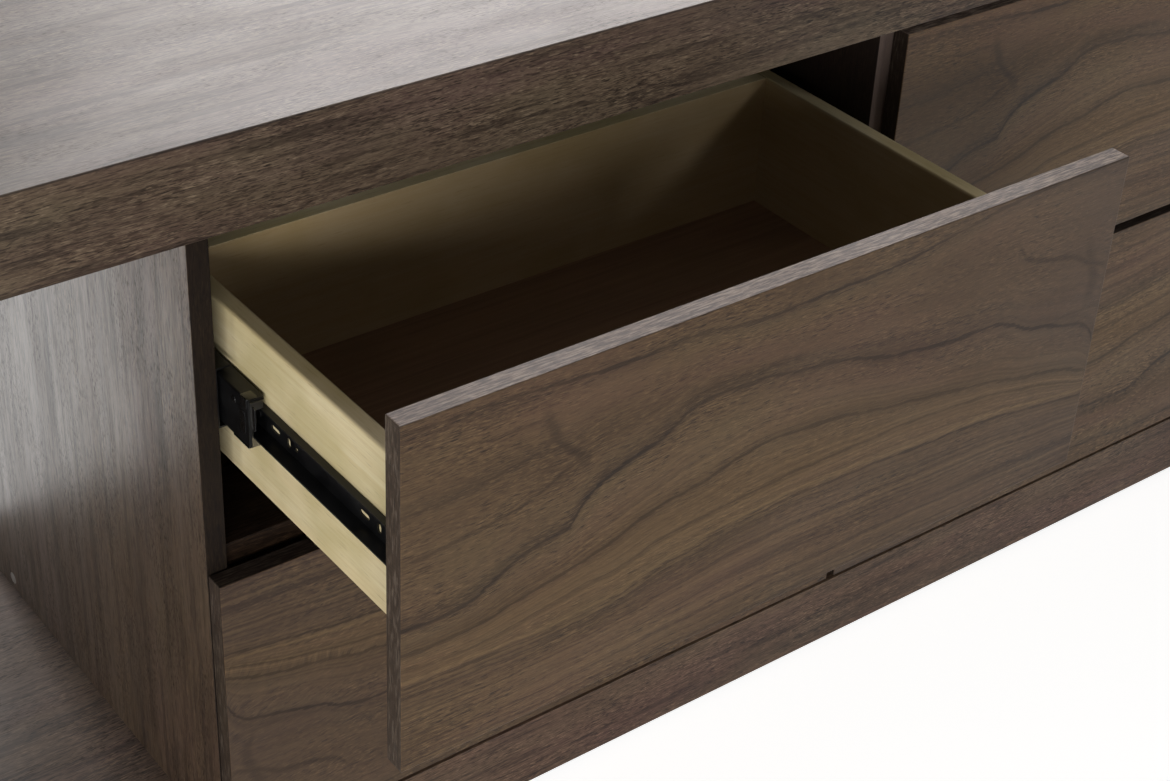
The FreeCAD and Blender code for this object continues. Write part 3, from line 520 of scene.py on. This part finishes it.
def face_wood(bench, along, rise, z, painted_light):
    """Colour, roughness and pore height of a front's face; along and rise are shares of the sheet."""
    sheet = bench.join(along, rise, 0.0)
    wobble = bench.noise(bench.stretch(sheet, (9, 5, 1)), detail=3)
    rise = bench.math("ADD", rise, bench.between(wobble, 0.2, 0.8, -LINE_WOBBLE, LINE_WOBBLE))
    lines, level = figure_levels(bench, along, rise)
    run = bench.math("MULTIPLY", along, FRONT_LENGTH * MM)
    lift = bench.math("MULTIPLY", level, FRONT_HEIGHT * MM)
    bent = bench.math("MULTIPLY_ADD", bench.math("SUBTRACT", lift, z), GRAIN_BEND, z)
    wood, roughness, pores = walnut_grain(bench, run, bent, 0.0, lift)
    # Painted light on the right fronts, a plain tone on the left ones.
    wood = bench.mix(1.0, wood, PAINTED_LIGHT_TONE if painted_light else DARKER_TONE, blend="MULTIPLY")
    wood = bench.stain(wood, GREY_DRIFT, 0.35, along, 0.45, 1.0)
    wood = bench.stain(wood, DARK_END, 0.25, along, 0.84, 1.0)
    rings = bench.noise(bench.stretch(bench.join(along, level, 0.0), (1.3, 70, 1), (2, 8, 0)), detail=3)
    calm = bench.between(level, 0.62, 0.46, 0.12, 0.42)
    wood = bench.mix(bench.math("MULTIPLY", bench.between(rings, 0.50, 0.40), calm), wood, RING_DARK)
    wood = bench.mix(bench.math("MULTIPLY", bench.between(rings, 0.53, 0.66, 0.0, 0.6), calm), wood, RING_PALE)
    fray = bench.noise(bench.stretch(bench.join(run, z, 0.0), (50, 420, 1)), detail=2)
    frayed = bench.math("ADD", rise, bench.between(fray, 0.3, 0.7, -LINE_FRAY, LINE_FRAY))
    dark = short_strokes(bench, along, rise, growth_lines(bench, lines[1:-1], frayed))
    patch = bench.noise(bench.stretch(bench.join(along, rise, 0.0), (6, 5, 1), (4, 2, 0)), detail=3)
    dark = bench.math("MULTIPLY", dark, bench.between(patch, 0.3, 0.7, 0.6, 1.15), clamp=True)
    wood = bench.mix(bench.math("MULTIPLY", dark, 0.90), wood, LINE_INK)
    over_low_line = bench.math("SUBTRACT", bench.math("SUBTRACT", frayed, lines[1]), STREAK_ABOVE)
    wood = bench.stain(wood, PALE_STREAK, 0.26, bench.math("ABSOLUTE", over_low_line), 0.008, 0.001)
    gold = bench.between(level, 0.22, 0.34, smooth=True)
    gold = bench.math("MULTIPLY", gold, bench.between(level, 0.60, 0.40))
    return bench.mix(bench.math("MULTIPLY", gold, 0.16), wood, GOLD_BAND), roughness, pores


print("the grain bends by", GRAIN_BEND, "of the figure's rise")

# %% [markdown]
# ## The fronts' narrow edges
# The narrow edges carry a lipping of their own, with short lines along the edge. It is paler on top, a painted
# sheen, dark along both arrises, and painted nearly black as shade where two fronts face each other across a gap
# and on a lower front's top edge. The direction that the surface looks in tells these places apart, so the solid
# needs no second material slot.

# %% Edge of a front
# The second colour is a painted sheen on the upward edges.
EDGE_GREY, EDGE_PAINTED_SHEEN = shade(96, 88, 84), shade(150, 132, 122)
EDGE_PORE, EDGE_FIBRE = shade(32, 24, 19), shade(190, 172, 154)
# The last colour is painted shade, for edges that face a gap.
OUTER_EDGE, ARRIS_DARK, GAP_PAINTED_SHADE = shade(40, 34, 30), shade(34, 26, 21), shade(18, 12, 9)
HALF_THICKNESS, ARRIS_FROM, ARRIS_TO = 9 * MM, 7.8 * MM, 8.6 * MM
EDGE_TURN = (0.4, 0.8)


def edge_wood(bench, place, facing, front_y, inward, lower):
    """Colour of a front's narrow edges. front_y is the plane of its face, and inward the side, 1 right or -1 left,
    whose edge faces the gap between the two columns and is painted nearly black as shade; a lower front's top edge
    gets the same painted shade."""
    x, y, z = place
    upward = bench.looking(facing[2], BOTH_WAYS, *FACE_TURN)
    along = bench.node("Mix", {0: upward, 2: z, 3: x}, data_type="FLOAT").outputs[0]
    band, _, _ = walnut_grain(bench, along, y, 0.4)
    stripes = bench.noise(bench.stretch(bench.join(along, y, 0.7), (75, 620, 1)), detail=3, rough=0.6)
    # Painted sheen: upward edges are mixed toward the paler colour.
    worn = bench.mix(upward, EDGE_GREY, EDGE_PAINTED_SHEEN)
    band = bench.mix(bench.between(upward, 0.0, 1.0, 0.22, 0.62), band, worn)
    strength = bench.between(upward, 0.0, 1.0, 0.35, 0.60)
    band = bench.mix(bench.math("MULTIPLY", bench.between(stripes, 0.52, 0.43), strength), band, EDGE_PORE)
    band = bench.mix(bench.math("MULTIPLY", bench.between(stripes, 0.54, 0.64), strength), band, EDGE_FIBRE)
    band = bench.mix(bench.looking(facing[0], -inward, *EDGE_TURN, 0.55), band, OUTER_EDGE)
    from_middle = bench.math("ABSOLUTE", bench.math("SUBTRACT", y, front_y + HALF_THICKNESS))
    on_arris = bench.between(from_middle, ARRIS_FROM, ARRIS_TO)
    band = bench.mix(bench.math("MULTIPLY", on_arris, 0.7), band, ARRIS_DARK)
    # Painted shade: edges that face the gap between the columns, and a lower front's top edge, go nearly black.
    gap_shade = bench.looking(facing[0], inward, *EDGE_TURN, 0.85)
    if lower:
        gap_shade = bench.math("MAXIMUM", gap_shade, bench.looking(facing[2], 1, *EDGE_TURN, 0.85))
    return bench.mix(gap_shade, band, GAP_PAINTED_SHADE)


print("the edge's dark arris starts", round(ARRIS_FROM / MM, 1), "mm from its middle")

# %% [markdown]
# ## Four fronts from one sheet
# All four fronts carry the same sheet, and on the two lower ones it is turned half round, as a veneerer lays
# neighbouring leaves so that the figure doesn't repeat. Turning is free: the two shares of the sheet are simply
# counted from the other end. The fronts are oiled only, so they have no coat and a low shine.

# %% Front finishes
FRONT_SHINE = 0.15
FRONT_RELIEF = 0.5


def front_finish(name, corner, turned, inward):
    """Veneer of one front. corner is its low left front corner, and a turned front has the sheet half round."""
    bench = Bench(name)
    x, y, z = bench.parts(bench.place())
    ends = (1.0, 0.0) if turned else (0.0, 1.0)
    along = bench.between(x, corner[0], corner[0] + FRONT_LENGTH * MM, *ends)
    rise = bench.between(z, corner[2], corner[2] + FRONT_HEIGHT * MM, *ends)
    wood, roughness, pores = face_wood(bench, along, rise, z, painted_light=inward < 0)
    facing = bench.facing()
    band = edge_wood(bench, (x, y, z), facing, corner[1], inward, lower=turned)
    on_edge = bench.between(bench.math("ABSOLUTE", facing[1]), *reversed(FACE_TURN))
    normal = bench.bump(pores, PORE_DEPTH, FRONT_RELIEF)
    return bench.close(bench.mix(on_edge, wood, band), roughness, normal, Specular_IOR_Level=FRONT_SHINE)


for drawer in DRAWERS:
    low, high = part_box(drawer + "_front")
    inward = 1 if drawer.endswith("left") else -1
    dress(drawer + "_front", front_finish(drawer + "_veneer", low, drawer.startswith("lower"), inward))
print("drawer fronts dressed:", len(DRAWERS))

# %% [markdown]
# ## The pale drawer box
# The boxes are of a pale, close-grained hardwood, oiled and hardly shiny. Its grain is faint: fine straight lines
# along each board and a slow drift from cream to straw. The faces toward the inside are painted brown as shade,
# the top edge of the left side is painted a little darker than its face as shade, and the floor is a thin brown
# board with colours of its own. The walnut recipe would be too lively here, so the box gets a recipe with fewer
# noises.

# %% Box finishes
# Rows as the walnut's: scale, shift, detail and roughness.
BOX_NOISES = {
    "lines": ((5, 260, 260), (0, 0, 0), 5, 0.7),
    "broad": ((6, 26, 26), (5, 3, 1), 3, 0.5),
    "clouds": ((11, 15, 15), (2, 9, 4), 3, 0.5),
    "flecks": ((60, 900, 900), (0, 0, 0), 1, 0.5),
}
PALE, STRAW = shade(243, 229, 190), shade(228, 209, 163)
PALE_DRIFT = (shade(222, 200, 150), shade(192, 176, 116))
FLOOR_LIGHT, FLOOR_DARK = shade(128, 98, 76), shade(100, 74, 56)
FLOOR_DRIFT = (shade(138, 108, 80), shade(108, 85, 62))
# The second and third colours are painted shade: on the drawer's inside faces and on the left side's top edge.
BOX_FLECK, INSIDE_PAINTED_SHADE, TOP_EDGE_PAINTED_SHADE = shade(130, 104, 68), shade(112, 86, 54), shade(150, 122, 80)
X_AXIS, Y_AXIS, Z_AXIS = 0, 1, 2


def box_board(name, order, light, dark, inner=None, drift=PALE_DRIFT, rim=0.0):
    """order names the axes along, across and through the board. inner is which way the drawer's inside lies, whose
    faces get painted shade, drift are the two colours that the wood wanders to, and rim is how much painted shade
    darkens its top edge."""
    bench = Bench(name)
    axes = dict(zip("xyz", bench.parts(bench.place())))
    seen = bench.grain(bench.join(*(axes[axis] for axis in order)), BOX_NOISES)
    wood = bench.mix(bench.between(seen["lines"], 0.34, 0.66), dark, light)
    wood = bench.stain(wood, drift[0], 0.5, seen["broad"], 0.38, 0.66)
    wood = bench.stain(wood, drift[1], 0.45, seen["clouds"], 0.48, 0.66)
    wood = bench.stain(wood, BOX_FLECK, 0.35, seen["flecks"], 0.62, 0.8)
    if inner:
        axis, way = inner
        # Painted shade on the faces toward the drawer's inside.
        within = bench.looking(bench.facing()[axis], way, 0.3, 0.8)
        wood = bench.mix(bench.math("MULTIPLY", within, 0.74), wood, INSIDE_PAINTED_SHADE)
    if rim:
        # Painted shade on the top edge.
        wood = bench.stain(wood, TOP_EDGE_PAINTED_SHADE, rim, bench.facing()[Z_AXIS], 0.4, 0.8)
    roughness = bench.between(seen["lines"], 0.3, 0.7, 0.62, 0.5)
    return bench.close(wood, roughness, bench.bump(seen["lines"], 0.1 * MM, 0.4), Specular_IOR_Level=0.3)


BOX_BOARDS = {
    "left_side": box_board("left_side_wood", "yzx", PALE, STRAW, (X_AXIS, 1), rim=0.35),
    "right_side": box_board("right_side_wood", "yzx", PALE, STRAW, (X_AXIS, -1)),
    "front": box_board("front_board_wood", "xzy", PALE, STRAW, (Y_AXIS, 1)),
    "back": box_board("rear_board_wood", "xzy", PALE, STRAW, (Y_AXIS, -1)),
    "bottom": box_board("floor_board", "xyz", FLOOR_LIGHT, FLOOR_DARK, drift=FLOOR_DRIFT),
}
for drawer in DRAWERS:
    for part, finish in BOX_BOARDS.items():
        dress(f"{drawer}_box_{part}", finish)
print("box boards dressed:", len(DRAWERS) * len(BOX_BOARDS))

# %% [markdown]
# ## Black runners and plated fixings
# The runners are pressed from sheet steel and coated black, with a faint orange-peel texture and brighter rubbed
# spots. The cages are bare steel, the screws are black, and bolts and nuts are zinc plated. All of them are one
# recipe, a fine speckle over a slow cloud, because the eye tells these metals apart by colour and polish.

# %% Metal finishes


def metal(name, colour, worn, rough, metallic, grain=700, coat=0.0, shine=0.5):
    """worn is the colour of rubbed spots, rough the middle roughness, and grain how fine the speckle is."""
    bench = Bench(name)
    place = bench.place()
    speckle = bench.noise(place, scale=grain, detail=3, rough=0.6)
    cloud = bench.noise(place, scale=60, detail=3)
    paint = bench.stain(colour, worn, 0.35, cloud, 0.4, 0.75)
    paint = bench.stain(paint, worn, 0.3, speckle, 0.6, 0.8)
    roughness = bench.between(cloud, 0.3, 0.7, rough - 0.06, rough + 0.08)
    return bench.close(paint, roughness, bench.bump(speckle, 0.04 * MM, 0.35), Metallic=metallic,
                       Coat_Weight=coat, Coat_Roughness=0.25, Specular_IOR_Level=shine)


runner_black = metal("runner_black", shade(3, 3, 4), shade(10, 10, 10), 0.42, 0.0, shine=0.35)
cage_metal = metal("cage_metal", shade(120, 118, 114), shade(160, 156, 150), 0.32, 1.0)
screw_black = metal("screw_black", shade(34, 33, 34), shade(70, 68, 66), 0.34, 0.8)
zinc = metal("zinc", shade(198, 198, 196), shade(226, 224, 218), 0.38, 0.6, grain=240)
glide_plastic = metal("glide_plastic", shade(26, 26, 27), shade(44, 43, 42), 0.5, 0.0, grain=900)
dowel_beech = box_board("dowel_beech", "zxy", shade(206, 170, 122), shade(170, 132, 88))
HARDWARE = {
    "runner_screws": screw_black, "back_panel_screws": screw_black, "base_bolts": zinc, "barrel_nuts": zinc,
    "wooden_dowels": dowel_beech, "levelling_glides": glide_plastic,
}
for drawer in DRAWERS:
    for member in ("cabinet", "middle", "drawer"):
        HARDWARE[f"{drawer}_runner_{member}_members"] = runner_black
    HARDWARE[f"{drawer}_runner_ball_cages"] = cage_metal
    HARDWARE[f"{drawer}_drawer_screws"] = screw_black
for node, finish in HARDWARE.items():
    dress(node, finish)
print("metal, plastic and dowels dressed:", len(HARDWARE))

# %% [markdown]
# ## Plates and heads with soft edges
# The runners' small fittings and the soft stops are only two kinds of shape: a flat plate with rounded corners
# and a low round head. Their softened edges are what catches the light on black parts. A plate starts as a block
# whose edges are bevelled twice, first the corners of its outline, then all its rims a little, and a head starts
# as a cylinder. Modifiers could soften them too, but the operators leave a plain mesh that exports as it is.

# %% Plates and heads
STEEP = 0.9
SHARP_ANGLE = math.radians(40)


def plate(form, low, high, thin, corner, soft):
    """Adds a flat plate with rounded corners to form. thin is the number of its thickness axis."""
    middle = Vector([(a + b) / 2 for a, b in zip(low, high)])
    size = Matrix.Diagonal([abs(b - a) for a, b in zip(low, high)]).to_4x4()
    made = bmesh.ops.create_cube(form, size=1, matrix=Matrix.Translation(middle) @ size)
    edges = {edge for vert in made["verts"] for edge in vert.link_edges}
    upright = [e for e in edges if abs((e.verts[0].co - e.verts[1].co).normalized()[thin]) > STEEP]
    rounded = bmesh.ops.bevel(form, geom=upright, offset=corner, segments=5, profile=0.5, affect="EDGES",
                              material=-1)
    faces = {f for v in rounded["verts"] for f in v.link_faces}
    rims = {e for f in faces if abs(f.normal[thin]) > STEEP for e in f.edges}
    bmesh.ops.bevel(form, geom=list(rims), offset=soft, segments=2, profile=0.5, affect="EDGES", material=-1)


def disc(form, centre, radius, height, axis, soft):
    """Adds a low round head to form, standing on its centre along axis, with a softened rim."""
    turn = Vector((0, 0, 1)).rotation_difference(Vector(axis)).to_matrix().to_4x4()
    place = Matrix.Translation(Vector(centre) + Vector(axis) * (height / 2)) @ turn
    made = bmesh.ops.create_cone(form, cap_ends=True, segments=24, radius1=radius, radius2=radius, depth=height,
                                 matrix=place)
    top = {f for v in made["verts"] for f in v.link_faces if f.normal.dot(Vector(axis)) > STEEP}
    rim = [e for f in top for e in f.edges]
    bmesh.ops.bevel(form, geom=rim, offset=soft, segments=4, profile=0.5, affect="EDGES", material=-1)


def finish_piece(form, name, body, finish):
    """Turns form into an object that rides on body and wears finish."""
    bmesh.ops.recalc_face_normals(form, faces=form.faces)
    mesh = bpy.data.meshes.new(name)
    form.to_mesh(mesh)
    form.free()
    for polygon in mesh.polygons:
        polygon.use_smooth = True
    mesh.set_sharp_from_angle(angle=SHARP_ANGLE)
    piece = bpy.data.objects.new(name, mesh)
    bpy.context.scene.collection.objects.link(piece)
    mesh.materials.append(finish)
    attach(piece, body)
    print(name, "rides on", body, "with", len(mesh.polygons), "faces")


print("edges over", round(math.degrees(SHARP_ANGLE)), "degrees stay sharp")

# %% [markdown]
# ## The runners' small fittings
# At the front end of each middle member the steel is finished by small fittings: a rounded plastic tongue that the
# drawer member's end meets, a clip folded over the top corner, a pressed pad that stiffens the web, a lip at the
# bottom, and a rivet. They are only millimetres big, so each is one plate, given as its maker would measure it
# from the wall, from the member's front end and from its middle. They go forward and back with the middle member,
# so they ride on its body.

# %% Runner fittings
WEB_OUT = 3.0
# Each plate in mm: reach from the wall, ahead of the front end, rise from the middle; then its thickness axis, the
# radius of its corners and the softening of its rims.
FITTING_PLATES = {
    "tongue": ((4.7, 6.3), (1.8, 6.8), (-3.5, 17.0), X_AXIS, 1.9, 0.35),
    "clip web": ((2.55, 3.1), (-11.0, -1.5), (13.0, 21.3), X_AXIS, 1.2, 0.2),
    "clip fold": ((2.6, 12.0), (-11.0, -0.5), (20.9, 21.45), Z_AXIS, 1.2, 0.2),
    "pressed pad": ((2.7, 3.1), (-12.5, -4.5), (-12.0, 9.0), X_AXIS, 3.4, 0.15),
    "lip": ((2.7, 7.0), (-24.0, -0.5), (-21.4, -20.8), Z_AXIS, 1.2, 0.2),
}
RIVET_REACH, RIVET_BACK, RIVET_RISE = 3.1, 21, 11
RIVET_RADIUS, RIVET_HEIGHT, RIVET_SOFT = 3.2 * MM, 0.5 * MM, 0.25 * MM
fitting_black = metal("fitting_black", shade(6, 6, 7), shade(20, 19, 18), 0.24, 0.0, grain=900, coat=0.25,
                      shine=0.4)
for drawer in DRAWERS:
    low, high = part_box(drawer + "_runner_middle_members")
    front_y, middle_z = low[1], (low[2] + high[2]) / 2
    form = bmesh.new()
    for wall_x, way in ((low[0] - WEB_OUT * MM, 1), (high[0] + WEB_OUT * MM, -1)):
        for reach, ahead, rise, thin, corner, soft in FITTING_PLATES.values():
            xs = sorted(wall_x + way * r * MM for r in reach)
            plate_low = (xs[0], front_y - ahead[1] * MM, middle_z + rise[0] * MM)
            plate_high = (xs[1], front_y - ahead[0] * MM, middle_z + rise[1] * MM)
            plate(form, plate_low, plate_high, thin, corner * MM, soft * MM)
        rivet = (wall_x + way * RIVET_REACH * MM, front_y + RIVET_BACK * MM, middle_z + RIVET_RISE * MM)
        disc(form, rivet, RIVET_RADIUS, RIVET_HEIGHT, (-way, 0, 0), RIVET_SOFT)
    finish_piece(form, drawer + "_runner_fittings", drawer + "_runner_middle", fitting_black)

# %% [markdown]
# ## Soft stops behind the fronts
# A drawer that shuts against bare wood bangs. Two small soft discs on the back of each front meet the upright's
# edge first. Each is a low cylinder with its outer rim rounded, pressed 0.1 mm into the front.

# %% Soft stops
STOP_INSET, STOP_FROM_END, STOP_PRESSED = 9 * MM, 26 * MM, 0.1 * MM
STOP_RADIUS, STOP_HEIGHT, STOP_SOFT = 4.2 * MM, 1.6 * MM, 0.6 * MM
bumper_rubber = metal("bumper_rubber", shade(96, 92, 86), shade(122, 117, 108), 0.55, 0.0, grain=500)
for drawer in DRAWERS:
    low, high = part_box(drawer + "_front")
    outer_x = low[0] + STOP_INSET if drawer.endswith("left") else high[0] - STOP_INSET
    form = bmesh.new()
    for height in (low[2] + STOP_FROM_END, high[2] - STOP_FROM_END):
        disc(form, (outer_x, high[1] - STOP_PRESSED, height), STOP_RADIUS, STOP_HEIGHT, (0, 1, 0), STOP_SOFT)
    finish_piece(form, drawer + "_soft_stops", drawer + "_drawer", bumper_rubber)

# %% [markdown]
# ## Floor and sky
# A studio for furniture is a white sweep. The floor and the sky look plain white to the eye and in reflections,
# while the light that they give to the object stays low, at a level where colours render about as they are
# written. The light path says what kind of ray is asking, so one strength can be bright for the eye and dim for
# the object. A brighter room would wash the walnut out.

# %% Floor and sky
WHITE = (1, 1, 1, 1)
FLOOR_GLOW = (0.0, 0.80)
SKY_STRENGTH = (0.10, 1.0)
FLOOR_SIZE = 20


def white_room(bench, dim, bright):
    """A strength that is bright to the eye and in reflections, and dim as light on the object."""
    path = bench.node("LightPath", {})
    seen = bench.math("ADD", path.outputs["Is Camera Ray"], path.outputs["Is Glossy Ray"], clamp=True)
    seen = bench.math("ADD", seen, path.outputs["Is Transmission Ray"], clamp=True)
    return bench.between(seen, 0.0, 1.0, dim, bright)


floor_mesh = bpy.data.meshes.new("studio_floor")
floor_form = bmesh.new()
bmesh.ops.create_grid(floor_form, x_segments=1, y_segments=1, size=FLOOR_SIZE)
floor_form.to_mesh(floor_mesh)
floor_form.free()
studio_floor = bpy.data.objects.new("studio_floor", floor_mesh)
bpy.context.scene.collection.objects.link(studio_floor)
sweep = Bench("studio_paper")
tooth = sweep.noise(sweep.place(), scale=300)
paper = sweep.mix(sweep.between(tooth, 0.3, 0.7), shade(224, 223, 220), shade(231, 230, 228))
diffuse = sweep.node("BsdfDiffuse", {"Color": paper})
glow = sweep.node("Emission", {"Color": WHITE, "Strength": white_room(sweep, *FLOOR_GLOW)})
both = sweep.node("AddShader", {0: diffuse.outputs[0], 1: glow.outputs[0]})
sweep.node("OutputMaterial", {"Surface": both.outputs[0]})
floor_mesh.materials.append(sweep.finish)

world = bpy.data.worlds.new("studio_sky")
world.use_nodes = True
bpy.context.scene.world = world
sky = Bench("studio_sky", world.node_tree)
background = sky.node("Background", {"Color": WHITE, "Strength": white_room(sky, *SKY_STRENGTH)})
sky.node("OutputWorld", {"Surface": background.outputs[0]})
print("floor and sky set, the floor", 2 * FLOOR_SIZE, "m wide")

# %% [markdown]
# ## Lamps
# Large soft lamps draw the shapes. A wide low one at the front left lights the fronts, a weak one at the left the
# drawer's side, and a wide one behind draws the shine along the top. Two small ones do single jobs: one shines
# from behind through the open bay onto the upright, the other from the front right onto the rear wall of the
# open drawer. Each is given by its place and by the point that it looks at, which is easier to think in than
# angles.

# %% Lamps
# Each lamp: its place, the point it looks at, its width, its depth, its power in watts and its colour.
LAMPS = {
    "front_lamp": ((-2.9, -3.3, 1.0), (-0.3, -0.2, 0.55), 2.4, 0.8, 104, (1.0, 1.0, 1.0)),
    "left_lamp": ((-3.9, -0.8, 0.42), (-0.64, -0.3, 0.53), 0.7, 0.4, 9, (1.0, 1.0, 1.0)),
    "bay_lamp": ((-0.58, 2.4, 1.0), (-0.8, 0.1, 0.1), 0.3, 0.5, 38, (1.0, 1.0, 1.0)),
    "rim_lamp": ((1.45, -3.6, 1.68), (-0.33, -0.03, 0.58), 0.7, 0.4, 15, (1.0, 1.0, 1.0)),
    "top_lamp": ((1.7, 2.6, 2.6), (-0.2, 0.1, 0.7), 2.6, 1.8, 105, (1.0, 0.95, 0.94)),
}
for name, (place, target, width, depth, power, colour) in LAMPS.items():
    light = bpy.data.lights.new(name, "AREA")
    light.shape = "RECTANGLE"
    light.size, light.size_y, light.energy, light.color = width, depth, power, colour
    holder = bpy.data.objects.new(name, light)
    bpy.context.scene.collection.objects.link(holder)
    holder.location = place
    holder.rotation_euler = (Vector(target) - Vector(place)).to_track_quat("-Z", "Y").to_euler()
print("lamps set:", ", ".join(LAMPS))

# %% [markdown]
# ## The camera
# A long lens from the front left, a little above the top, looks down into the open drawer. A long lens keeps the
# cabinet's straight edges from running together fast. The view transform is Standard, so a colour comes out as
# it was written.

# %% Camera
FOCAL_LENGTH, SENSOR_WIDTH = 66.496, 36.0
CAMERA_PLACE = (-1.26524, -1.32382, 1.43814)
CAMERA_TURN = (0.980172, -0.045798, -0.644469)
lens = bpy.data.cameras.new("credenza_camera")
lens.lens, lens.sensor_width, lens.sensor_fit = FOCAL_LENGTH, SENSOR_WIDTH, "HORIZONTAL"
lens.clip_start, lens.clip_end = 0.05, 100.0
camera = bpy.data.objects.new("credenza_camera", lens)
bpy.context.scene.collection.objects.link(camera)
camera.location = CAMERA_PLACE
camera.rotation_euler = CAMERA_TURN
bpy.context.scene.camera = camera
bpy.context.scene.view_settings.view_transform = "Standard"
print("camera", round(CAMERA_PLACE[2], 2), "m up with a lens of", round(FOCAL_LENGTH), "mm")

# %% [markdown] ## Dressing shouldn't make the cabinet bigger.
